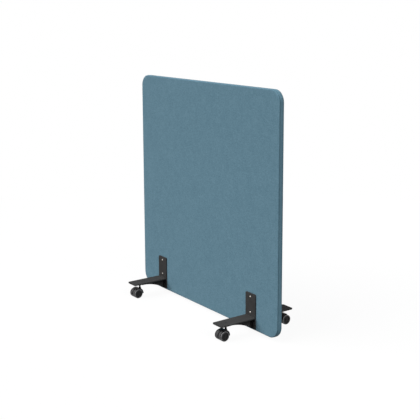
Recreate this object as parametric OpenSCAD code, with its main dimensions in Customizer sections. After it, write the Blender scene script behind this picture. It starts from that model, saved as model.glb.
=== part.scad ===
// Rolling partition: a fabric-covered screen panel on four steel feet with twin-wheel swivel castors.
// Units are millimetres. X runs along the panel, -Y is the front and +Z is up.
// The origin is the point on the floor under the middle of the panel.
// A foot is drawn once, with its +Y pointing away from the panel, and mirrored to its four places.

/* [Panel] */
// Width of the covered panel
panel_w = 1200; // [800:10:1800]
// Height of the covered panel
panel_h = 1200; // [600:10:1600]
// Radius of the panel's four corners
panel_corner_r = 60; // [20:1:120]
// Height of the panel's lower edge above the floor
panel_lift = 16; // [14:1:60]

/* [Panel layers] */
// Thickness of the core board
core_t = 18; // [12:1:30]
// Thickness of the foam pad on each face
pad_t = 5; // [2:0.5:10]
// Thickness of the cover fabric
fabric_t = 1; // [0.6:0.1:1.5]
// Radius of the cover's long edges, where a face sheet turns to meet the edge band
edge_r = 5; // [2.5:0.5:6]

/* [Feet] */
// Distance from the panel's side edge to a foot's centre line
foot_inset = 200; // [90:5:380]
// Width of the upright and of the foot plate
foot_w = 76; // [60:1:110]
// Thickness of the upright and of the foot plate
steel_t = 6; // [4:0.5:7]
// Height of the upright's lower end above the panel's lower edge
upright_low = 9; // [0:1:30]
// Height of the upright's top above the panel's lower edge
upright_top = 186; // [180:1:260]
// Radius of the upright's corners
upright_corner_r = 5; // [1:0.5:12]
// Height of the foot plate's upper face above the panel's lower edge
plate_top = 68; // [62:1:75]
// Reach of the foot plate from the panel's face
plate_reach = 210; // [200:1:260]
// Radius of the foot plate's outer corners
plate_corner_r = 8; // [2:1:20]
// Thickness of the rib under the foot plate
rib_t = 5; // [3:0.5:8]
// Distance between the rib's nose and the stem's axis
rib_to_stem = 13; // [12:1:60]
// Height of the rib's blunt nose
rib_nose = 16; // [5:1:20]
// Rise of the rib's arched lower edge above a straight line
rib_arch = 10.5; // [1:0.5:12]

/* [Screws and sleeves] */
// Height of a foot's lower screw above the panel's lower edge
screw_low = 88; // [78:1:100]
// Distance between a foot's two screws
screw_pitch = 80; // [50:1:85]
// Radius of a screw's shank
screw_r = 3; // [2.5:0.25:3.5]
// Radius of a screw's head
screw_head_r = 5.25; // [4.5:0.25:7]
// Height of a screw's head
screw_head_h = 3.3; // [2.5:0.1:4.5]
// Width across the flats of the socket in a screw's head
socket_flats = 4; // [3:0.5:5]
// Depth of the socket in a screw's head
socket_depth = 1.8; // [1:0.1:2.2]
// Radius of a threaded sleeve in the panel
sleeve_r = 5; // [4.5:0.25:8]
// Gap between the tips of two screws that face each other in a sleeve
tip_gap = 2; // [1:0.5:6]

/* [Castor wheels] */
// Radius of a castor wheel
wheel_r = 25; // [23:0.5:26]
// Width of one wheel
wheel_w = 23.5; // [16:0.5:24]
// Radius of a tyre's shoulders
shoulder_r = 2.5; // [1:0.25:4]
// Radius of the seat where a tyre sits on its hub
tyre_seat_r = 20; // [17:0.5:21]
// Thickness of a hub's rim
rim_t = 2.5; // [1.5:0.25:4]
// Thickness of the closed disc on a hub's outer side
hub_disc_t = 2.5; // [1.5:0.25:4]
// Depth of the dish in a hub's outer side
hub_dish = 3.5; // [1:0.25:4]
// Slope of the dish's wall, inwards over its depth
dish_slope = 1.5; // [0:0.25:3]
// Radius of a hub's boss around the axle
hub_boss_r = 7; // [5:0.5:9]
// Radius of a hub's raised middle button
hub_button_r = 6; // [4:0.5:9]
// Depth of the button's top below the rim's edge
button_depth = 1; // [0.5:0.25:2]
// Radius of an axle
axle_r = 3; // [2.5:0.25:4]

/* [Castor housing] */
// Distance of a castor's stem from the panel's face
stem_reach = 157; // [130:1:190]
// Distance of the axle outwards from the stem
trail = 22.5; // [21:0.5:25]
// Radius of a stem
stem_r = 5; // [3.5:0.25:5.25]
// Thickness of the housing's web between the two wheels
web_t = 4; // [3:0.5:14]
// Radius of the web around the axle
web_hub_r = 8; // [6:0.5:12]
// Radius of the hood's outer curve
hood_r = 31; // [30:0.5:33]
// Distance of the hood's curve back from the axle, towards the stem
hood_back = 4; // [3:0.5:6]
// Distance of the hood's sides in from the wheels' outer faces
hood_inset = 8; // [0:0.5:10]
// Distance of the hood's curve down from the axle
hood_drop = 1; // [0:0.5:1.5]
// Angle above the horizontal at which the hood ends over the wheels
hood_end_angle = 68; // [50:1:75]
// Depth of the hood's lower edge below the axle, on the stem's side
hood_heel = 4; // [0:0.5:10]
// Height of the stem boss's top above the axle
boss_rise = 27; // [26:0.5:30]
// Height of the stem boss's foot above the axle
boss_low = 13; // [10:0.5:18]
// Radius of the stem boss at its top
boss_top_r = 7.25; // [6.75:0.25:9]
// Radius of the stem boss at its foot
boss_foot_r = 8.5; // [8:0.25:10]
// Thickness of the swivel bush
bush_t = 1.25; // [1:0.25:1.75]

/* [Stem ring] */
// Height of the retaining ring above the bush's lower end
ring_rise = 2; // [1:0.25:4]
// Thickness of the retaining ring
ring_t = 1.2; // [0.8:0.1:1.6]
// Depth of the ring's groove in the stem
stem_groove = 0.8; // [0.5:0.1:1.2]
// Depth of the ring's groove in the bush
bush_groove = 0.7; // [0.5:0.05:0.8]
// Angle of the ring's gap
ring_gap_angle = 40; // [20:5:90]

/* [Clearances] */
// Radial gap where a part is seated in another and doesn't turn
seat_gap = 0.02; // [0.01:0.01:0.05]
// Radial gap where a part turns on another
run_gap = 0.05; // [0.02:0.01:0.1]
// Radial gap of a screw in a drilled clearance hole
hole_gap = 0.3; // [0.1:0.05:0.6]
// Gap between a wheel and the housing's web
side_gap = 1; // [0.5:0.1:2]
// Gap between a tyre's tread and the hood
tread_gap = 1; // [0.7:0.1:1.5]
// Gap below the end of a stem and beyond the ends of an axle
end_gap = 0.5; // [0.2:0.1:1]
// Gap between the retaining ring and the bush's groove, and above it in the stem's groove
ring_gap = 0.15; // [0.1:0.05:0.2]

/* [Hidden] */
$fn = 96;
// Facets of the large arcs
ARC_FN = 240;
// Overshoot of a cutting shape past the face it cuts
CUT = 1;
// Size of a cutting shape that has to reach past a whole castor
FAR = 80;

// Each foot's name, its side along X and its side along Y
FEET = [["front_left", -1, -1], ["front_right", 1, -1], ["rear_left", -1, 1], ["rear_right", 1, 1]];
PANEL_NODES = ["core_board", "front_pad", "rear_pad", "front_fabric", "rear_fabric", "edge_band"];
FASTENER_NODES = ["threaded_sleeves", "front_screws", "rear_screws"];
FOOT_NODES = ["bracket", "stem", "stem_ring", "bush", "housing", "axle",
    "outer_hub", "outer_tyre", "inner_hub", "inner_tyre"];

panel_t = core_t + 2 * (pad_t + fabric_t);
// The long edges are rounded within the fabric and the outer nine tenths of the pad
long_r = min(edge_r, fabric_t + 0.9 * pad_t);
foot_x = panel_w / 2 - foot_inset;
screw_heights = [for (k = [0, 1]) panel_lift + screw_low + k * screw_pitch];
screw_reach = steel_t + panel_t / 2 - tip_gap / 2;
rib_reach = stem_reach - rib_to_stem;
sleeve_len = panel_t - 2 * fabric_t;

plate_z = panel_lift + plate_top - steel_t;
upright_z = panel_lift + upright_low;
upright_h = upright_top - upright_low;

axle_z = wheel_r;
axle_reach = stem_reach + trail;
bay_r = wheel_r + tread_gap;
wheel_in = web_t / 2 + side_gap;
wheel_out = wheel_in + wheel_w;
hub_bore_end = wheel_out - hub_dish - hub_disc_t;
axle_len = 2 * (hub_bore_end - end_gap);
bush_r = stem_r + run_gap + bush_t;

// The bush stands as low as the wheels' bays allow, with this much housing left beside it
bush_wall = 1;
bush_z = axle_z + sqrt(bay_r * bay_r - pow(trail - bush_r - bush_wall, 2));
boss_z = axle_z + boss_rise;
ring_z = bush_z + ring_rise;
stem_z = bush_z + end_gap;

FABRIC = [0.38, 0.50, 0.56];
FOAM = [0.85, 0.85, 0.80];
BOARD = [0.72, 0.58, 0.40];
BLACK_STEEL = [0.16, 0.16, 0.17];
BLACK_NYLON = [0.10, 0.10, 0.11];
TREAD = [0.20, 0.20, 0.21];
BRIGHT_STEEL = [0.75, 0.75, 0.77];

// ---- Placing ----

// Puts a foot's pieces, drawn from the panel's face outwards, at one of the four places
module at_foot(foot) {
    mirror([foot[1] < 0 ? 1 : 0, 0, 0])
        mirror([0, foot[2] < 0 ? 1 : 0, 0])
            translate([foot_x, panel_t / 2, 0])
                children();
}

// Stands a sketch of the panel's face up, and gives it depth from y = low to y = low + depth
module upright_slab(low, depth) {
    translate([0, low + depth, 0])
        rotate([90, 0, 0])
            linear_extrude(depth)
                children();
}

// Turns a piece that was drawn along +Z so that it points away from the panel
module outwards() {
    rotate([-90, 0, 0]) children();
}

// Turns a piece that was drawn along +Z so that it points along the axle
module along_axle() {
    translate([0, axle_reach, axle_z])
        rotate([0, 90, 0])
            children();
}

// ---- Panel ----

// Outline of the panel, drawn in from its outer edge
module panel_outline(inset) {
    r = panel_corner_r - inset;
    half_w = panel_w / 2 - inset;
    half_h = panel_h / 2 - inset;
    translate([0, panel_lift + panel_h / 2]) {
        square([2 * (half_w - r), 2 * half_h], center = true);
        square([2 * half_w, 2 * (half_h - r)], center = true);
        for (x = [-1, 1], y = [-1, 1])
            translate([x * (half_w - r), y * (half_h - r)])
                circle(r, $fn = ARC_FN);
    }
}

// Sweeps a sketch around the panel: its x is outwards from the inset line, its y is depth
module around_panel(inset) {
    run_w = panel_w / 2 - panel_corner_r;
    run_h = panel_h / 2 - panel_corner_r;
    // angle, distance to the side, half the side's straight run, distance to the corner's centre
    sides = [[0, panel_w / 2, run_h, run_w], [90, panel_h / 2, run_w, run_h],
        [180, panel_w / 2, run_h, run_w], [270, panel_h / 2, run_w, run_h]];
    translate([0, panel_lift + panel_h / 2, 0])
        for (side = sides)
            rotate([0, 0, side[0]]) {
                translate([side[1] - inset, side[2], 0])
                    rotate([90, 0, 0])
                        linear_extrude(2 * side[2])
                            children();
                translate([side[3], side[2], 0])
                    rotate_extrude(angle = 90, $fn = ARC_FN)
                        translate([panel_corner_r - inset, 0])
                            children();
            }
}

// Bores through the panel at every screw, of one radius
module screw_bores(r) {
    for (x = [-foot_x, foot_x], z = screw_heights)
        translate([x, 0, z])
            outwards()
                cylinder(r = r, h = panel_t + 2 * CUT, center = true);
}

module core_board() {
    color(BOARD)
        difference() {
            upright_slab(-core_t / 2, core_t) panel_outline(fabric_t);
            screw_bores(sleeve_r + seat_gap);
        }
}

// One foam pad, on the side that `facing` gives: -1 for the front, 1 for the rear
module pad(facing) {
    roll = long_r - fabric_t;
    color(FOAM)
        difference() {
            mirror([0, facing < 0 ? 1 : 0, 0])
                translate([0, core_t / 2, 0])
                    rotate([90, 0, 0])
                        mirror([0, 0, 1]) {
                            linear_extrude(pad_t) panel_outline(long_r);
                            around_panel(long_r) {
                                square([roll, pad_t - roll]);
                                translate([0, pad_t - roll]) quarter_disc(roll);
                            }
                        }
            screw_bores(sleeve_r + seat_gap);
        }
}

module quarter_disc(r) {
    intersection() {
        circle(r);
        square(2 * r);
    }
}

// One face of the cover: a flat sheet that turns around the long edges to the edge band
module face_fabric(facing) {
    color(FABRIC)
        difference() {
            mirror([0, facing < 0 ? 1 : 0, 0])
                translate([0, panel_t / 2 - long_r, 0])
                    rotate([90, 0, 0])
                        mirror([0, 0, 1]) {
                            translate([0, 0, long_r - fabric_t])
                                linear_extrude(fabric_t) panel_outline(long_r);
                            around_panel(long_r)
                                difference() {
                                    quarter_disc(long_r);
                                    circle(long_r - fabric_t);
                                }
                        }
            screw_bores(screw_r + hole_gap);
        }
}

// The band that closes the cover around the panel's rim
module edge_band() {
    color(FABRIC)
        upright_slab(long_r - panel_t / 2, panel_t - 2 * long_r)
            difference() {
                panel_outline(0);
                panel_outline(fabric_t);
            }
}

// ---- Screws and sleeves ----

module threaded_sleeves() {
    color(BRIGHT_STEEL)
        for (x = [-foot_x, foot_x], z = screw_heights)
            translate([x, 0, z])
                outwards()
                    difference() {
                        cylinder(r = sleeve_r, h = sleeve_len, center = true);
                        cylinder(r = screw_r + seat_gap, h = sleeve_len + 2 * CUT, center = true);
                    }
}

// A button-head screw along +Z, with its head's seat at the origin
module screw() {
    dome_r = (screw_head_r * screw_head_r + screw_head_h * screw_head_h) / (2 * screw_head_h);
    difference() {
        rotate_extrude() {
            intersection() {
                translate([0, screw_head_h - dome_r]) circle(dome_r);
                square([2 * screw_head_r, 2 * screw_head_h]);
            }
            translate([0, -screw_reach]) square([screw_r, screw_reach]);
        }
        translate([0, 0, screw_head_h - socket_depth])
            cylinder(r = socket_flats / sqrt(3), h = socket_depth + CUT, $fn = 6);
    }
}

// The four screws on one side of the panel
module screws(facing) {
    color(BRIGHT_STEEL)
        for (foot = FEET)
            if (foot[2] == facing)
                at_foot(foot)
                    for (z = screw_heights)
                        translate([0, steel_t, z])
                            outwards()
                                screw();
}

// ---- Steel feet ----

// A rectangle whose four corners are rounded, from its lower left corner
module rounded_rect(w, h, r) {
    translate([r, 0]) square([w - 2 * r, h]);
    translate([0, r]) square([w, h - 2 * r]);
    for (x = [r, w - r], y = [r, h - r])
        translate([x, y]) circle(r);
}

module foot_plate_outline() {
    r = plate_corner_r;
    translate([-foot_w / 2, 0]) square([foot_w, plate_reach - r]);
    translate([r - foot_w / 2, 0]) square([foot_w - 2 * r, plate_reach]);
    for (x = [-1, 1])
        translate([x * (foot_w / 2 - r), plate_reach - r]) circle(r);
}

// Outline of the rib, x outwards and y up: its lower edge arches from the upright to the nose
module rib_outline() {
    foot_end = [steel_t, upright_z];
    nose_end = [rib_reach, plate_z - rib_nose];
    chord = nose_end - foot_end;
    chord_len = norm(chord);
    arch_r = (chord_len * chord_len / 4 + rib_arch * rib_arch) / (2 * rib_arch);
    upwards = [-chord[1], chord[0]] / chord_len;
    arch_centre = (foot_end + nose_end) / 2 - upwards * (arch_r - rib_arch);
    difference() {
        polygon([[steel_t, plate_z], foot_end, nose_end, [rib_reach, plate_z]]);
        translate(arch_centre) circle(arch_r, $fn = 4 * ARC_FN);
    }
}

module bracket(foot) {
    color(BLACK_STEEL)
        at_foot(foot)
            difference() {
                union() {
                    translate([-foot_w / 2, 0, upright_z])
                        upright_slab(0, steel_t)
                            rounded_rect(foot_w, upright_h, upright_corner_r);
                    translate([0, 0, plate_z])
                        linear_extrude(steel_t)
                            foot_plate_outline();
                    translate([-rib_t / 2, 0, 0])
                        rotate([90, 0, 90])
                            linear_extrude(rib_t)
                                rib_outline();
                }
                for (z = screw_heights)
                    translate([0, -CUT, z])
                        outwards()
                            cylinder(r = screw_r + hole_gap, h = steel_t + 2 * CUT);
                translate([0, stem_reach, plate_z - CUT])
                    cylinder(r = stem_r + seat_gap, h = steel_t + 2 * CUT);
            }
}

// ---- Castors ----

// The stem is screwed into the foot plate, flush with its upper face
module stem(foot) {
    groove_h = ring_t + ring_gap;
    color(BRIGHT_STEEL)
        at_foot(foot)
            translate([0, stem_reach, 0])
                difference() {
                    translate([0, 0, stem_z])
                        cylinder(r = stem_r, h = plate_z + steel_t - stem_z);
                    translate([0, 0, ring_z])
                        difference() {
                            cylinder(r = stem_r + CUT, h = groove_h);
                            translate([0, 0, -CUT])
                                cylinder(r = stem_r - stem_groove, h = groove_h + 2 * CUT);
                        }
                }
}

// The split ring, seated in the stem's groove, that keeps the castor on its stem
module stem_ring(foot) {
    ring_in = stem_r - stem_groove + seat_gap;
    ring_out = stem_r + bush_groove - ring_gap;
    color(BRIGHT_STEEL)
        at_foot(foot)
            translate([0, stem_reach, ring_z])
                rotate([0, 0, 90 + ring_gap_angle / 2])
                    rotate_extrude(angle = 360 - ring_gap_angle)
                        translate([ring_in, 0])
                            square([ring_out - ring_in, ring_t]);
}

module bush(foot) {
    color(BRIGHT_STEEL)
        at_foot(foot)
            translate([0, stem_reach, 0])
                difference() {
                    translate([0, 0, bush_z])
                        cylinder(r = bush_r, h = boss_z - bush_z);
                    translate([0, 0, bush_z - CUT])
                        cylinder(r = stem_r + run_gap, h = boss_z - bush_z + 2 * CUT);
                    translate([0, 0, ring_z - ring_gap])
                        cylinder(r = stem_r + bush_groove, h = ring_t + 2 * ring_gap);
                }
}

// Outline of the hood from the side, x outwards from the axle and y up
module hood_outline() {
    intersection() {
        translate([-hood_back, -hood_drop]) circle(hood_r, $fn = ARC_FN);
        polygon([[-FAR, -hood_heel], [0, -hood_heel], [0, 0],
            FAR * [cos(hood_end_angle), sin(hood_end_angle)], [-FAR, FAR]]);
    }
}

// Draws a side outline across the castor, to a given half width
module across_castor(half_width) {
    translate([-half_width, axle_reach, axle_z])
        rotate([90, 0, 90])
            linear_extrude(2 * half_width)
                children();
}

// The moulded body: a hood over both wheels, a web between them and a boss for the stem
module housing(foot) {
    color(BLACK_NYLON)
        at_foot(foot)
            difference() {
                union() {
                    across_castor(wheel_out - hood_inset) hood_outline();
                    across_castor(web_t / 2) circle(web_hub_r);
                    translate([0, stem_reach, axle_z + boss_low])
                        cylinder(r1 = boss_foot_r, r2 = boss_top_r, h = boss_rise - boss_low);
                }
                for (side = [-1, 1])
                    along_axle()
                        translate([0, 0, side * (web_t / 2 + FAR / 2)])
                            cylinder(r = bay_r, h = FAR, center = true, $fn = ARC_FN);
                translate([0, stem_reach, bush_z])
                    cylinder(r = bush_r + seat_gap, h = FAR);
                along_axle()
                    cylinder(r = axle_r + seat_gap, h = FAR, center = true);
            }
}

module axle(foot) {
    color(BRIGHT_STEEL)
        at_foot(foot)
            along_axle()
                cylinder(r = axle_r, h = axle_len, center = true);
}

// Half section of a hub, x out from the axle and y along it
module hub_section() {
    disc_in = hub_bore_end;
    disc_out = disc_in + hub_disc_t;
    translate([axle_r + run_gap, wheel_in])
        square([hub_boss_r - axle_r - run_gap, disc_in - wheel_in + hub_disc_t / 2]);
    translate([0, disc_in]) square([tyre_seat_r, hub_disc_t]);
    translate([0, disc_in]) square([hub_button_r, wheel_out - button_depth - disc_in]);
    translate([tyre_seat_r - rim_t, wheel_in]) square([rim_t, wheel_w]);
    polygon([[tyre_seat_r - rim_t, wheel_out], [tyre_seat_r - rim_t - dish_slope, disc_out],
        [tyre_seat_r - rim_t, disc_out]]);
}

// Half section of a tyre, with rounded shoulders
module tyre_section() {
    tyre_t = wheel_r - tyre_seat_r - seat_gap;
    translate([tyre_seat_r + seat_gap, wheel_in]) {
        square([tyre_t - shoulder_r, wheel_w]);
        translate([0, shoulder_r]) square([tyre_t, wheel_w - 2 * shoulder_r]);
        for (y = [shoulder_r, wheel_w - shoulder_r])
            translate([tyre_t - shoulder_r, y]) circle(shoulder_r);
    }
}

// One turned wheel piece: side 1 is the wheel nearer the panel's end, side -1 the other
module wheel_piece(foot, side) {
    at_foot(foot)
        mirror([side < 0 ? 1 : 0, 0, 0])
            along_axle()
                rotate_extrude($fn = ARC_FN)
                    children();
}

module hub(foot, side) {
    color(BLACK_NYLON) wheel_piece(foot, side) hub_section();
}

module tyre(foot, side) {
    color(TREAD) wheel_piece(foot, side) tyre_section();
}

// ---- Nodes ----

core_board();
pad(-1);  // front_pad
pad(1);  // rear_pad
face_fabric(-1);  // front_fabric
face_fabric(1);  // rear_fabric
edge_band();
threaded_sleeves();
screws(-1);  // front_screws
screws(1);  // rear_screws
for (foot = FEET) {
    bracket(foot);
    stem(foot);
    stem_ring(foot);
    bush(foot);
    housing(foot);
    axle(foot);
    hub(foot, 1);
    tyre(foot, 1);
    hub(foot, -1);
    tyre(foot, -1);
}
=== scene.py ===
"""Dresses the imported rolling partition: fabric cover, powder-coated feet and moulded castors."""

import math

import bpy
import numpy as np
from mathutils import Matrix, Vector, noise


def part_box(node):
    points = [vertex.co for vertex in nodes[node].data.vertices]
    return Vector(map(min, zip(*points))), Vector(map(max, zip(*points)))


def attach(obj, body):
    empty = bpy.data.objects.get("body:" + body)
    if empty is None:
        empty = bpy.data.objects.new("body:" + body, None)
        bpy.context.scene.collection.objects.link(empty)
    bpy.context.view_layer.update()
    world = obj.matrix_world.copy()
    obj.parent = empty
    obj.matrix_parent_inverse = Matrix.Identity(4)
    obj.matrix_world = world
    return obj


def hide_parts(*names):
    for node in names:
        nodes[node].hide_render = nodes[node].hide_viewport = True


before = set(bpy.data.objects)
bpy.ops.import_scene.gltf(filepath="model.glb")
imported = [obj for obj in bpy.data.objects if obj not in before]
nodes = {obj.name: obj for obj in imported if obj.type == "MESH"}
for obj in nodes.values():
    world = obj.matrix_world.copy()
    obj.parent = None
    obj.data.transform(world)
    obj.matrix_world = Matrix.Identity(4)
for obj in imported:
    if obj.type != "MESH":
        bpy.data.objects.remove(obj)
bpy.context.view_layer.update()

FEET = ("front_left", "front_right", "rear_left", "rear_right")
MM = 0.001

# ---------------------------------------------------------------- sizes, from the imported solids

PANEL_LOW, PANEL_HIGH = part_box("edge_band")
PANEL_MID_Z = (PANEL_LOW.z + PANEL_HIGH.z) / 2
HALF_W = (PANEL_HIGH.x - PANEL_LOW.x) / 2
HALF_H = (PANEL_HIGH.z - PANEL_LOW.z) / 2
CORNER_R = 0.060  # panel_corner_r in part.scad
SEAM_DEPTH = PANEL_HIGH.y  # half the edge band's width
FACE_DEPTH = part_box("rear_fabric")[1].y
EDGE_R = FACE_DEPTH - SEAM_DEPTH

BRACKET_LOW, BRACKET_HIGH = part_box("front_right_bracket")
FOOT_X = (BRACKET_LOW.x + BRACKET_HIGH.x) / 2
FOOT_HALF = (BRACKET_HIGH.x - BRACKET_LOW.x) / 2
FOOT_LOW, FOOT_TOP = BRACKET_LOW.z, BRACKET_HIGH.z
# a wheel's outer side, from the castor's middle
WHEEL_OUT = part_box("front_right_outer_tyre")[1].x - FOOT_X


def add_object(name, data):
    piece = bpy.data.objects.new(name, data)
    bpy.context.scene.collection.objects.link(piece)
    return piece


def point_ahead(piece, at, ahead):
    """Puts a camera or lamp at a place, looking along a direction."""
    piece.location = at
    piece.rotation_mode = "QUATERNION"
    piece.rotation_quaternion = ahead.to_track_quat("-Z", "Y")


# ---------------------------------------------------------------- camera

CAMERA_AT = (3.6386, -2.5875, 1.5826)
CAMERA_YAW = 0.6422  # from -X towards +Y, radians
CAMERA_PITCH = 0.1711  # below the horizon, radians
CAMERA_LENS = 75.001
CAMERA_SENSOR = 36
CAMERA_SHIFT = (-0.0401, -0.12)
CAMERA_CLIP = (0.05, 200)


def make_camera():
    data = bpy.data.cameras.new("camera")
    data.lens = CAMERA_LENS
    data.sensor_width = CAMERA_SENSOR
    data.shift_x, data.shift_y = CAMERA_SHIFT
    data.clip_start, data.clip_end = CAMERA_CLIP
    camera = add_object("camera", data)
    level = math.cos(CAMERA_PITCH)
    ahead = Vector((
        -math.cos(CAMERA_YAW) * level,
        math.sin(CAMERA_YAW) * level,
        -math.sin(CAMERA_PITCH),
    ))
    point_ahead(camera, CAMERA_AT, ahead)
    bpy.context.scene.camera = camera


# ---------------------------------------------------------------- shader wiring

BEVEL_SAMPLES = 4


class Shader:
    """A Principled material, with short ways to wire its nodes in the part's own coordinates."""

    def __init__(self, name, **sockets):
        self.material = bpy.data.materials.new(name)
        self.material.use_nodes = True
        self.tree = self.material.node_tree
        self.bsdf = self.tree.nodes["Principled BSDF"]
        self.place = self.tree.nodes.new("ShaderNodeTexCoord").outputs["Object"]
        for socket, value in sockets.items():
            self.set(socket.replace("_", " "), value)

    def set(self, socket, value):
        """Sets a socket of the Principled shader to a value, or links it."""
        self.put(self.bsdf.inputs[socket], value)

    def put(self, socket, value):
        if isinstance(value, bpy.types.NodeSocket):
            self.tree.links.new(value, socket)
        elif socket.type == "RGBA" and len(value) == 3:
            socket.default_value = (*value, 1)
        else:
            socket.default_value = value

    def noise(self, scale, detail=2.0, roughness=0.5):
        """Noise of one scale, or of three along X, Y and Z, in cycles per metre."""
        node = self.tree.nodes.new("ShaderNodeTexNoise")
        node.inputs["Scale"].default_value = 1.0
        node.inputs["Detail"].default_value = detail
        node.inputs["Roughness"].default_value = roughness
        mapping = self.tree.nodes.new("ShaderNodeMapping")
        scales = scale if hasattr(scale, "__len__") else (scale,) * 3
        mapping.inputs["Scale"].default_value = scales
        self.tree.links.new(self.place, mapping.inputs["Vector"])
        self.tree.links.new(mapping.outputs["Vector"], node.inputs["Vector"])
        return node.outputs["Fac"]

    def math(self, operation, a, b=0.0):
        node = self.tree.nodes.new("ShaderNodeMath")
        node.operation = operation
        for socket, value in zip(node.inputs, (a, b)):
            self.put(socket, value)
        return node.outputs[0]

    def sum_of(self, *parts):
        """The sum of two values, each times its share."""
        return self.math("ADD", *[self.math("MULTIPLY", value, share) for value, share in parts])

    def spread(self, value, low, high, to_low=0.0, to_high=1.0):
        """Maps low..high to to_low..to_high, clamped."""
        node = self.tree.nodes.new("ShaderNodeMapRange")
        for name, x in (("Value", value), ("From Min", low), ("From Max", high),
                        ("To Min", to_low), ("To Max", to_high)):
            self.put(node.inputs[name], x)
        return node.outputs["Result"]

    def ramp(self, value, *stops):
        """Colours at places from 0 to 1."""
        node = self.tree.nodes.new("ShaderNodeValToRGB")
        elements = node.color_ramp.elements
        while len(elements) < len(stops):
            elements.new(0.5)
        for element, (at, colour) in zip(elements, stops):
            element.position = at
            element.color = (*colour, 1)
        self.put(node.inputs["Fac"], value)
        return node.outputs["Color"]

    def mix(self, factor, a, b):
        node = self.tree.nodes.new("ShaderNodeMix")
        node.data_type = "RGBA"
        self.put(node.inputs["Factor"], factor)
        self.put(node.inputs["A"], a)
        self.put(node.inputs["B"], b)
        return node.outputs["Result"]

    def axis(self, letter):
        node = self.tree.nodes.new("ShaderNodeSeparateXYZ")
        self.tree.links.new(self.place, node.inputs["Vector"])
        return node.outputs[letter]

    def bump(self, height, distance, strength, edge=0.0):
        """Raises the surface by a height, and rounds its sharp edges to a radius."""
        node = self.tree.nodes.new("ShaderNodeBump")
        if edge:
            rounded = self.tree.nodes.new("ShaderNodeBevel")
            rounded.samples = BEVEL_SAMPLES
            rounded.inputs["Radius"].default_value = edge
            self.tree.links.new(rounded.outputs["Normal"], node.inputs["Normal"])
        node.inputs["Distance"].default_value = distance
        node.inputs["Strength"].default_value = strength
        self.put(node.inputs["Height"], height)
        self.set("Normal", node.outputs["Normal"])


# ---------------------------------------------------------------- materials

# Noise, in cycles per metre
THREAD_ALONG, THREAD_ACROSS, FLECK, CLOUD = 95, 760, 330, 26
COAT_PEEL, COAT_HAZE = 900, 18
TURNED_MARKS, TARNISH = (500, 500, 2600), 240
MOULD_GRAIN, MOULD_SCUFFS = 700, (60, 260, 90)
FOAM_CELLS, BOARD_CHIPS = 1400, (160, 420, 300)

CLOTH_DARK = (0.077, 0.157, 0.208)
CLOTH_MID = (0.110, 0.210, 0.271)
CLOTH_LIGHT = (0.155, 0.273, 0.345)
# painted shadow of the seam's groove, laid on the cloth beside both seams
CLOTH_SEAM_SHADOW = (0.034, 0.082, 0.108)
CLOTH_SHEEN = (0.62, 0.78, 0.88)
SEAM_SHADE = 0.52  # share of the painted shadow's colour at the seam itself
SEAM_NEAR, SEAM_FAR = 0.8 * MM, 3.2 * MM  # the painted shade is full at the first, gone at the second
COAT_DARK = (0.0398, 0.0395, 0.0392)
COAT_LIGHT = (0.0518, 0.0513, 0.0510)
COAT_EDGE, MOULD_EDGE = 0.7 * MM, 0.5 * MM  # radii that the edges seem to have
# painted highlight on the hub's rim face, where the rim catches the light
HUB_RIM_HIGHLIGHT = (0.035, 0.035, 0.036)
# painted shade: a dark line on the tread where the shoulder shades it
TREAD_GROOVE_SHADE = (0.010, 0.010, 0.010)
# painted highlight on the tyre's rounded shoulder
TREAD_SHOULDER_HIGHLIGHT = (0.210, 0.210, 0.212)
TREAD_SIDE = (0.060, 0.060, 0.061)


def cloth_material():
    """Fine melange wool weave: crossing threads of mixed dark and light yarn."""
    s = Shader("melange_cloth", Roughness=0.92, Sheen_Weight=0.12, Sheen_Roughness=0.45,
               Specular_IOR_Level=0.15)
    s.set("Sheen Tint", CLOTH_SHEEN)
    weft = s.noise((THREAD_ALONG, THREAD_ALONG, THREAD_ACROSS), detail=2.5, roughness=0.6)
    warp = s.noise((THREAD_ACROSS, THREAD_ACROSS, THREAD_ALONG), detail=2.5, roughness=0.6)
    fleck = s.noise(FLECK, detail=3.0, roughness=0.65)
    cloud = s.noise(CLOUD)
    yarn = s.sum_of((weft, 0.36), (warp, 0.30))
    mottle = s.sum_of((fleck, 0.24), (cloud, 0.10))
    value = s.math("ADD", yarn, mottle)
    colour = s.ramp(value, (0.36, CLOTH_DARK), (0.5, CLOTH_MID), (0.64, CLOTH_LIGHT))
    # painted shade along both seams, darkest at the seam's middle, where the groove shades the
    # cloth
    depth = s.math("ABSOLUTE", s.axis("Y"))
    from_seam = s.math("ABSOLUTE", s.math("SUBTRACT", depth, SEAM_DEPTH))
    shade = s.spread(from_seam, SEAM_NEAR, SEAM_FAR, SEAM_SHADE, 0.0)
    s.set("Base Color", s.mix(shade, colour, CLOTH_SEAM_SHADOW))
    s.set("Roughness", s.spread(value, 0.4, 0.6, 0.97, 0.86))
    relief = s.math("ADD", yarn, s.math("MULTIPLY", fleck, 0.3))
    s.bump(relief, distance=0.6 * MM, strength=0.55)
    return s.material


def powder_coat_material():
    """Black powder coat: matte, with a fine orange peel and a faint unevenness."""
    s = Shader("black_powder_coat", Specular_IOR_Level=0.004)
    peel = s.noise(COAT_PEEL)
    haze = s.noise(COAT_HAZE, detail=3.0)
    tone = s.sum_of((peel, 0.5), (haze, 0.5))
    s.set("Base Color", s.ramp(tone, (0.35, COAT_DARK), (0.65, COAT_LIGHT)))
    s.set("Roughness", s.spread(haze, 0.3, 0.7, 0.58, 0.70))
    s.bump(peel, distance=0.12 * MM, strength=0.5, edge=COAT_EDGE)
    return s.material


def plated_material(name, dark, light, rough):
    """Zinc-plated steel with fine turning marks and a little tarnish."""
    s = Shader(name, Metallic=1.0)
    marks = s.noise(TURNED_MARKS)
    tarnish = s.noise(TARNISH, detail=3.0)
    s.set("Base Color", s.ramp(tarnish, (0.3, dark), (0.7, light)))
    s.set("Roughness", s.spread(marks, 0.3, 0.7, rough - 0.06, rough + 0.08))
    s.bump(marks, distance=0.04 * MM, strength=0.4)
    return s.material


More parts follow.
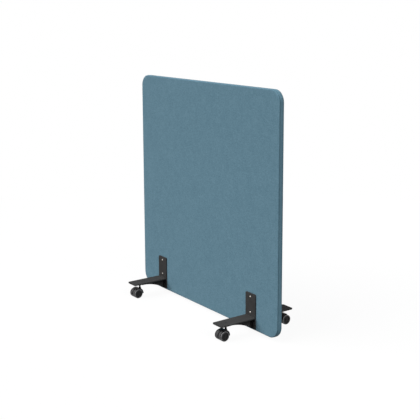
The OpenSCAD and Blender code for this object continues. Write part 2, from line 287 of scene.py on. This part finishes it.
def moulded_material(name, dark, light, rough, shine, bands=()):
    """Moulded plastic with a fine spark-eroded grain and faint scuffs.

    Each band is (start, end, tone): the tone fades in from start to end, in mm inside a wheel's
    outer side. The bands lay painted highlights and painted shade on the wheels, and a plain tone
    on a tyre's flat side.
    """
    s = Shader(name, Specular_IOR_Level=shine)
    grain = s.noise(MOULD_GRAIN)
    scuff = s.noise(MOULD_SCUFFS, detail=4.0, roughness=0.7)
    colour = s.ramp(scuff, (0.38, dark), (0.68, light))
    if bands:
        foot = s.math("SUBTRACT", s.math("ABSOLUTE", s.axis("X")), FOOT_X)
        across = s.math("ABSOLUTE", foot)
        for start, end, tone in bands:
            share = s.spread(across, WHEEL_OUT - start * MM, WHEEL_OUT - end * MM)
            colour = s.mix(share, colour, tone)
    s.set("Base Color", colour)
    s.set("Roughness", s.spread(scuff, 0.35, 0.7, rough, rough + 0.12))
    s.bump(grain, distance=0.08 * MM, strength=0.5, edge=MOULD_EDGE)
    return s.material


def foam_material():
    """Open-cell foam, seen only where the cover is taken off."""
    s = Shader("foam", Roughness=0.95, Specular_IOR_Level=0.1)
    cells = s.noise(FOAM_CELLS)
    s.set("Base Color", s.ramp(cells, (0.3, (0.50, 0.50, 0.44)), (0.7, (0.72, 0.72, 0.66))))
    s.bump(cells, distance=0.4 * MM, strength=0.6)
    return s.material


def board_material():
    """Chipboard core, seen only where the cover is taken off."""
    s = Shader("chipboard", Roughness=0.8, Specular_IOR_Level=0.2)
    chips = s.noise(BOARD_CHIPS, detail=3.0, roughness=0.7)
    s.set("Base Color", s.ramp(chips, (0.3, (0.30, 0.20, 0.11)), (0.7, (0.62, 0.47, 0.30))))
    s.bump(chips, distance=0.3 * MM, strength=0.4)
    return s.material


def dress(material, *names):
    for name in names:
        nodes[name].data.materials.clear()
        nodes[name].data.materials.append(material)


# ---------------------------------------------------------------- cover

CLOTH_T = 1.0 * MM
SEAM_TUCK = 0.7 * MM  # how far both cloths turn in at the seam
ROLL_TUCK_FROM, BAND_TUCK_FROM = 0.62, 0.86  # shares of the roll and the band where the tuck begins
ARC_STEPS = 14
ROLL_STEPS = 7
SHARP_ANGLE = 50  # degrees
COARSE, FINE = 16 * MM, 4 * MM  # the face grid's steps, and those beside the uprights' edges
BAND_STEP, PAD_STEP = 20 * MM, 50 * MM  # along their outlines' straight sides
SWELL_FADE = 20 * MM  # the swell ends over this width, at the face's own edge
PRESSED = 0.30 * MM  # under the uprights
SWOLLEN = 0.55 * MM  # beside them
DRIFT, DRIFT_SCALE = 0.22 * MM, 3.1  # a slow unevenness all over, and its cycles per metre
PUCKER = 0.16 * MM
PUCKER_REACH = 50 * MM  # how far it runs on along the straight sides
PUCKER_LONG, PUCKER_SHORT = 4.2 * MM, 2.5 * MM  # its two waves' lengths, over 2 pi
BAND_CROWN = 0.35 * MM
BAND_GAP = 0.12 * MM  # from the band's edge to the seam's middle
BAND_ACROSS = (-1.0, -0.97, -0.92, -0.8, -0.5, 0.0, 0.5, 0.8, 0.92, 0.97, 1.0)
PAD_ROUND = 1.2 * MM
PAD_INSET = 0.9 * MM  # behind the solid pad's rim
PAD_SLACK = 0.35 * MM  # off the pad's thickness, at each face
PAD_SHIFT = 0.1 * MM  # towards the board
PAD_HOLE_GAP = 0.3 * MM  # round a sleeve
PAD_HOLE_STEP = 15  # degrees
PAD_ROUND_STEPS = 3


def breaks(low, high, coarse, fine_at=(), reach=COARSE, fine=FINE):
    """Places from low to high, coarse apart, and fine apart within reach of some of them."""
    found = list(np.linspace(low, high, int(round((high - low) / coarse)) + 1))
    for at in fine_at:
        found = [x for x in found if abs(x - at) > reach or x in (low, high)]
        found += [x for x in np.arange(at - reach, at + reach + fine / 2, fine) if low < x < high]
    return sorted(found)


def half_width_at(z, half_w, half_h, r):
    """Half the outline's width at a height from its middle."""
    past = abs(z) - (half_h - r)
    if past <= 0:
        return half_w
    return half_w - r + math.sqrt(max(r * r - past * past, 0.0))


def outward_at(x, z, half_w, half_h, r):
    """The outline's outward direction at a point on it."""
    dx, dz = abs(x) - (half_w - r), abs(z) - (half_h - r)
    if dx > 1e-9 and dz > 1e-9:
        d = math.hypot(dx, dz)
        return math.copysign(dx / d, x), math.copysign(dz / d, z)
    if dz > dx:
        return 0.0, math.copysign(1.0, z)
    return math.copysign(1.0, x), 0.0


def smooth(t):
    t = min(max(t, 0.0), 1.0)
    return t * t * (3 - 2 * t)


def face_swell(x, z):
    """How far the face cloth stands out: pressed in under the uprights, swollen beside them."""
    dx = abs(abs(x) - FOOT_X) - FOOT_HALF
    dz = max(FOOT_LOW - z, z - FOOT_TOP)
    d = max(dx, dz)  # out from the upright's outline
    pressed = -PRESSED * smooth((3 * MM - d) / (4 * MM))
    beside = SWOLLEN * smooth((d + 1 * MM) / (6 * MM)) * smooth((30 * MM - d) / (22 * MM))
    drift = DRIFT * noise.noise(Vector((x * DRIFT_SCALE, z * DRIFT_SCALE, 5.0)))
    return pressed + beside + drift


def pucker(x, z, where):
    """A slight gathering at the seam round the corners, fading along the straight sides."""
    dx, dz = abs(x) - (HALF_W - CORNER_R), abs(z - PANEL_MID_Z) - (HALF_H - CORNER_R)
    near = smooth(1 - max(-min(dx, dz), 0.0) / PUCKER_REACH)
    along = math.atan2(max(dz, 0.0), max(dx, 1e-6)) * CORNER_R
    wave = math.sin(along / PUCKER_LONG) + 0.4 * math.sin(along / PUCKER_SHORT + 1.3)
    return PUCKER * near * where * wave


def new_object(name, points, faces, material):
    mesh = bpy.data.meshes.new(name)
    mesh.from_pydata(points, [], faces)
    mesh.validate()
    mesh.materials.append(material)
    mesh.polygons.foreach_set("use_smooth", [True] * len(mesh.polygons))
    mesh.set_sharp_from_angle(angle=math.radians(SHARP_ANGLE))
    return add_object(name, mesh)


def roll_profile(outer):
    """Outset and depth behind the face of the cloth's rolled edge, from the face to the seam."""
    radius = EDGE_R if outer else EDGE_R - CLOTH_T
    start = 0.0 if outer else CLOTH_T
    steps = []
    for k in range(1, ROLL_STEPS + 1):
        t = k / ROLL_STEPS
        angle = t * math.pi / 2
        tuck = SEAM_TUCK * smooth((t - ROLL_TUCK_FROM) / (1 - ROLL_TUCK_FROM))
        steps.append((radius * math.sin(angle) - tuck, start + radius * (1 - math.cos(angle)), t))
    return steps


def face_cloth(name, side, material):
    """One face of the cover, as a closed sheet. side is -1 for the front and 1 for the rear."""
    half_w, half_h, r = HALF_W - EDGE_R, HALF_H - EDGE_R, CORNER_R - EDGE_R
    foot_edges = [s * (FOOT_X + e * FOOT_HALF) for s in (-1, 1) for e in (-1, 1)]
    us = [x / half_w for x in breaks(-half_w, half_w, COARSE, foot_edges)]
    turns = [k / ARC_STEPS * math.pi / 2 for k in range(1, ARC_STEPS + 1)]
    arc = [half_h - r + r * math.sin(turn) for turn in turns]
    straight = breaks(-(half_h - r), half_h - r, COARSE, [FOOT_TOP - PANEL_MID_Z])
    vs = [-z for z in reversed(arc)] + straight + arc
    cols, rows = len(us), len(vs)
    boundary = [(0, c) for c in range(cols)]
    boundary += [(w, cols - 1) for w in range(1, rows)]
    boundary += [(rows - 1, c) for c in range(cols - 2, -1, -1)]
    boundary += [(w, 0) for w in range(rows - 2, 0, -1)]
    points, faces = [], []

    def skin(outer):
        base = len(points)
        for v in vs:
            width = half_width_at(v, half_w, half_h, r)
            for u in us:
                x, z = u * width, v + PANEL_MID_Z
                edge = smooth(min((half_w - abs(x)), (half_h - abs(v))) / SWELL_FADE)
                swell = face_swell(x, z) * edge
                points.append((x, side * (FACE_DEPTH + swell - (0 if outer else CLOTH_T)), z))
        for w in range(rows - 1):
            for c in range(cols - 1):
                quad = (base + w * cols + c, base + w * cols + c + 1,
                        base + (w + 1) * cols + c + 1, base + (w + 1) * cols + c)
                faces.append(quad if (side < 0) == outer else quad[::-1])
        ring = [base + w * cols + c for w, c in boundary]
        for outset, behind, t in roll_profile(outer):
            fresh = []
            for w, c in boundary:
                x, z = us[c] * half_width_at(vs[w], half_w, half_h, r), vs[w] + PANEL_MID_Z
                ox, oz = outward_at(x, vs[w], half_w, half_h, r)
                out = outset + pucker(x + ox * outset, z + oz * outset, t * t)
                fresh.append(len(points))
                points.append((x + ox * out, side * (FACE_DEPTH - behind), z + oz * out))
            join(ring, fresh, (side < 0) == outer)
            ring = fresh
        return ring

    def join(inner, outer_ring, flip):
        n = len(inner)
        for k in range(n):
            quad = (inner[k], outer_ring[k], outer_ring[(k + 1) % n], inner[(k + 1) % n])
            faces.append(quad if flip else quad[::-1])

    outer_end = skin(True)
    inner_end = skin(False)
    join(outer_end, inner_end, side < 0)
    return new_object(name, points, faces, material)


def outline_points(inset, spacing):
    """Points round the panel's outline, each with its outward direction.

    They run anticlockwise, seen from the front, from the start of the lower right corner.
    """
    r = CORNER_R - inset
    found = []
    corners = [(1, -1, -90), (1, 1, 0), (-1, 1, 90), (-1, -1, 180)]
    for n, (sx, sz, start) in enumerate(corners):
        cx, cz = sx * (HALF_W - CORNER_R), sz * (HALF_H - CORNER_R)
        for k in range(2 * ARC_STEPS + 1):
            a = math.radians(start + 90 * k / (2 * ARC_STEPS))
            dx, dz = math.cos(a), math.sin(a)
            found.append((cx + r * dx, PANEL_MID_Z + cz + r * dz, dx, dz))
        nx, nz = corners[(n + 1) % 4][:2]
        ex, ez = nx * (HALF_W - CORNER_R), nz * (HALF_H - CORNER_R)
        a = math.radians(start + 90)
        dx, dz = math.cos(a), math.sin(a)
        length = math.hypot(ex - cx, ez - cz)
        steps = int(length / spacing)
        for k in range(1, steps):
            x, z = cx + (ex - cx) * k / steps, cz + (ez - cz) * k / steps
            found.append((x + r * dx, PANEL_MID_Z + z + r * dz, dx, dz))
    return found


def band_cloth(material):
    """The strip sewn between the two faces, slightly swollen and turned in at its seams."""
    profile = []
    for outer in (True, False):
        line = []
        for t in BAND_ACROSS:
            tuck = SEAM_TUCK * smooth((abs(t) - BAND_TUCK_FROM) / (1 - BAND_TUCK_FROM))
            out = BAND_CROWN * (1 - t * t) - tuck - (0 if outer else CLOTH_T)
            line.append((t * (SEAM_DEPTH - BAND_GAP), out, abs(t)))
        profile += line if outer else line[::-1]
    loop = outline_points(0.0, BAND_STEP)
    points, faces = [], []
    for x, z, ox, oz in loop:
        for y, out, t in profile:
            out = out + pucker(x, z, t ** 8)
            points.append((x + ox * out, y, z + oz * out))
    n, m = len(loop), len(profile)
    for k in range(n):
        for j in range(m):
            a, b = k * m + j, k * m + (j + 1) % m
            c, d = ((k + 1) % n) * m + (j + 1) % m, ((k + 1) % n) * m + j
            faces.append((a, b, c, d))
    return new_object("edge_band_cloth", points, faces, material)


def pad_foam(name, side, material):
    """A foam sheet under one face, with holes for the sleeves and softly rounded edges."""
    low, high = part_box("front_pad" if side < 0 else "rear_pad")
    curve = bpy.data.curves.new(name, "CURVE")
    curve.dimensions = "2D"
    curve.fill_mode = "BOTH"
    curve.extrude = (high.y - low.y) / 2 - PAD_ROUND - PAD_SLACK
    curve.bevel_depth = PAD_ROUND
    curve.bevel_resolution = PAD_ROUND_STEPS
    curve.offset = -PAD_ROUND
    rim = outline_points(HALF_W - high.x + PAD_INSET, PAD_STEP)
    outlines = [[(x, z) for x, z, _, _ in rim]]
    for low_hole, high_hole in sleeve_boxes():
        cx, cz = (low_hole.x + high_hole.x) / 2, (low_hole.z + high_hole.z) / 2
        hole_r = (high_hole.x - low_hole.x) / 2 + PAD_HOLE_GAP
        turn = [math.radians(a) for a in range(0, 360, PAD_HOLE_STEP)]
        outlines.append([(cx + hole_r * math.cos(-a), cz + hole_r * math.sin(-a)) for a in turn])
    for outline in outlines:
        spline = curve.splines.new("POLY")
        spline.points.add(len(outline) - 1)
        for point, (x, z) in zip(spline.points, outline):
            point.co = (x, z, 0, 1)
        spline.use_cyclic_u = True
    drawn = add_object(name + "_outline", curve)
    bpy.context.view_layer.update()
    evaluated = drawn.evaluated_get(bpy.context.evaluated_depsgraph_get())
    mesh = bpy.data.meshes.new_from_object(evaluated)
    bpy.data.objects.remove(drawn)
    middle = (0, (low.y + high.y) / 2 - side * PAD_SHIFT, 0)
    mesh.transform(Matrix.Translation(middle) @ Matrix.Rotation(math.pi / 2, 4, "X"))
    mesh.name = name
    mesh.materials.clear()
    mesh.materials.append(material)
    return add_object(name, mesh)


def sleeve_boxes():
    """The box of each threaded sleeve, from the islands of their shared mesh."""
    points = np.array([v.co for v in nodes["threaded_sleeves"].data.vertices])
    found = []
    for sx in (-1, 1):
        mine = points[points[:, 0] * sx > 0]
        cut = (mine[:, 2].min() + mine[:, 2].max()) / 2
        for group in (mine[mine[:, 2] < cut], mine[mine[:, 2] > cut]):
            found.append((Vector(group.min(0)), Vector(group.max(0))))
    return found


def cover():
    cloth, foam = cloth_material(), foam_material()
    band = band_cloth(cloth)
    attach(band, "screen")
    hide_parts("edge_band")
    for side, end in ((-1, "front"), (1, "rear")):
        face = face_cloth(end + "_cover_cloth", side, cloth)
        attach(face, "screen")
        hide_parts(end + "_fabric")
        pad = pad_foam(end + "_pad_foam", side, foam)
        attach(pad, "screen")
        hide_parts(end + "_pad")


# ---------------------------------------------------------------- metal and plastic


def dress_hardware():
    coat = powder_coat_material()
    screw = plated_material("screw_steel", dark=(0.24, 0.225, 0.21), light=(0.38, 0.36, 0.34),
                            rough=0.42)
    plated = plated_material("plain_steel", dark=(0.30, 0.30, 0.31), light=(0.46, 0.46, 0.47),
                             rough=0.30)
    stem = moulded_material("black_oxide", dark=(0.007, 0.007, 0.008),
                            light=(0.013, 0.013, 0.014), rough=0.42, shine=0.12)
    shell = moulded_material("castor_shell", dark=(0.004, 0.004, 0.0045),
                             light=(0.008, 0.008, 0.0085), rough=0.32, shine=0.16)
    # the hub's band is a painted highlight on its rim face
    hub = moulded_material("castor_hub", dark=(0.014, 0.014, 0.0145),
                           light=(0.022, 0.022, 0.0225), rough=0.42, shine=0.1,
                           bands=[(0.9, 0.3, HUB_RIM_HIGHLIGHT)])
    # the tread's bands: painted shade 7 to 8.5 mm in, a painted highlight on the shoulder, and a
    # plain tone 0.06 on the flat side face
    tread = moulded_material("castor_tread", dark=(0.032, 0.032, 0.033),
                             light=(0.052, 0.052, 0.053), rough=0.44, shine=0.2,
                             bands=[(8.5, 7.0, TREAD_GROOVE_SHADE), (2.3, 1.7, TREAD_SHOULDER_HIGHLIGHT),
                                    (0.2, 0.1, TREAD_SIDE)])
    dress(board_material(), "core_board")
    dress(screw, "front_screws", "rear_screws")
    dress(plated, "threaded_sleeves")
    for foot in FEET:
        dress(coat, foot + "_bracket")
        dress(stem, foot + "_stem")
        dress(plated, foot + "_stem_ring", foot + "_bush", foot + "_axle")
        dress(shell, foot + "_housing")
        dress(hub, foot + "_outer_hub", foot + "_inner_hub")
        dress(tread, foot + "_outer_tyre", foot + "_inner_tyre")


# ---------------------------------------------------------------- studio

FLOOR_RADIUS = 14.0
FLOOR_RINGS, FLOOR_SPOKES = 24, 96
FLOOR_DROP = 0.2 * MM
FLOOR_GLOW = 0.93  # how white the camera sees it near the object: the rest takes the shadow
GLOW_FROM, GLOW_TO = 1.2, 3.2  # metres from the middle, where it starts to turn and is fully white
FLOOR_COLOUR = 0.80  # as the camera sees it
FLOOR_BOUNCE = 0.07  # as it lights the object from below
WORLD_LEVEL = 0.12
# Two wide, distant lights: level (at pi, a white surface that faces it shows white), width, and
# degrees above the floor and from the front towards +X
DISTANT = {"key": (3.72, 60, 46, -18), "side": (1.84, 30, 35, 88)}
DISTANT_AT = 5.0  # metres; only the direction counts
REAR_WATTS, REAR_SIZE = 140, 0.8
REAR_AT, REAR_TOWARDS = (-1.8, 4.6, 0.45), (0, 0, 0.6)


class Backdrop:
    """An empty node tree for the floor or the world, with short ways to wire it."""

    def __init__(self, owner):
        owner.use_nodes = True
        self.tree = owner.node_tree
        self.tree.nodes.clear()
        self.path = self.new("LightPath").outputs

    def new(self, kind):
        return self.tree.nodes.new("ShaderNode" + kind)

    def wire(self, node, *sources):
        """Links the node's first inputs and returns its first output."""
        for socket, source in zip(node.inputs, sources):
            self.tree.links.new(source, socket)
        return node.outputs[0]

    def math(self, operation, a, b):
        node = self.new("Math")
        node.operation = operation
        return self.wire(node, a, b)

    def spread(self, value, **ends):
        node = self.new("MapRange")
        for name, end in ends.items():
            node.inputs[name.replace("_", " ")].default_value = end
        return self.wire(node, value)

    def show(self, output, factor, a, b):
        """Shows shader a, or b as far as the factor says."""
        surface = self.wire(self.new("MixShader"), factor, a, b)
        self.tree.links.new(surface, self.new(output).inputs["Surface"])


def make_floor():
    """A pale disc that takes the object's shadow, and is white to the camera and in reflections."""
    points, faces = [(0, 0, 0)], []
    for n in range(1, FLOOR_RINGS + 1):
        reach = FLOOR_RADIUS * n / FLOOR_RINGS
        for k in range(FLOOR_SPOKES):
            a = 2 * math.pi * k / FLOOR_SPOKES
            points.append((reach * math.cos(a), reach * math.sin(a), 0))
    for k in range(FLOOR_SPOKES):
        faces.append((0, 1 + k, 1 + (k + 1) % FLOOR_SPOKES))
    for n in range(FLOOR_RINGS - 1):
        for k in range(FLOOR_SPOKES):
            a, b = 1 + n * FLOOR_SPOKES + k, 1 + n * FLOOR_SPOKES + (k + 1) % FLOOR_SPOKES
            faces.append((a, a + FLOOR_SPOKES, b + FLOOR_SPOKES, b))
    material = bpy.data.materials.new("pale_floor")
    s = Backdrop(material)
    seen = s.math("MAXIMUM", s.path["Is Camera Ray"], s.path["Is Glossy Ray"])
    length = s.new("VectorMath")
    length.operation = "LENGTH"
    s.wire(length, s.new("TexCoord").outputs["Object"])
    fade = s.spread(length.outputs["Value"], From_Min=GLOW_FROM, From_Max=GLOW_TO,
                    To_Min=FLOOR_GLOW, To_Max=1.0)
    share = s.math("MULTIPLY", seen, fade)
    tone = s.spread(s.path["Is Diffuse Ray"], To_Min=FLOOR_COLOUR, To_Max=FLOOR_BOUNCE)
    pale = s.wire(s.new("BsdfDiffuse"), tone)
    white = s.new("Emission")
    white.inputs["Strength"].default_value = 1.0
    s.show("OutputMaterial", share, pale, white.outputs[0])
    mesh = bpy.data.meshes.new("studio_floor")
    mesh.from_pydata(points, [], faces)
    mesh.materials.append(material)
    floor = add_object("studio_floor", mesh)
    floor.location.z = -FLOOR_DROP


def make_world():
    """White to the camera and in reflections, and a soft light on the object."""
    world = bpy.data.worlds.new("studio")
    s = Backdrop(world)
    reflected = s.math("MAXIMUM", s.path["Is Glossy Ray"], s.path["Is Transmission Ray"])
    seen = s.math("MAXIMUM", s.path["Is Camera Ray"], reflected)
    shades = []
    for level in (WORLD_LEVEL, 1.0):
        shade = s.new("Background")
        shade.inputs["Strength"].default_value = level
        shade.inputs["Color"].default_value = (1, 1, 1, 1)
        shades.append(shade.outputs[0])
    s.show("OutputWorld", seen, *shades)
    bpy.context.scene.world = world


def make_lamps():
    """The key from the front left, a fill from the right, and a soft box behind the panel."""
    for name, (level, width, height, turn) in DISTANT.items():
        sun = bpy.data.lights.new(name, "SUN")
        sun.energy = level
        sun.angle = math.radians(width)
        height, turn = math.radians(height), math.radians(turn)
        level_reach = DISTANT_AT * math.cos(height)
        at = Vector((level_reach * math.sin(turn), -level_reach * math.cos(turn),
                     DISTANT_AT * math.sin(height)))
        point_ahead(add_object(name, sun), at, -at)
    rear = bpy.data.lights.new("rear", "AREA")
    rear.shape = "SQUARE"
    rear.size = REAR_SIZE
    rear.energy = REAR_WATTS
    point_ahead(add_object("rear", rear), REAR_AT, Vector(REAR_TOWARDS) - Vector(REAR_AT))


make_camera()
make_world()
make_floor()
make_lamps()
cover()
dress_hardware()

bpy.context.scene.view_settings.view_transform = "Standard"
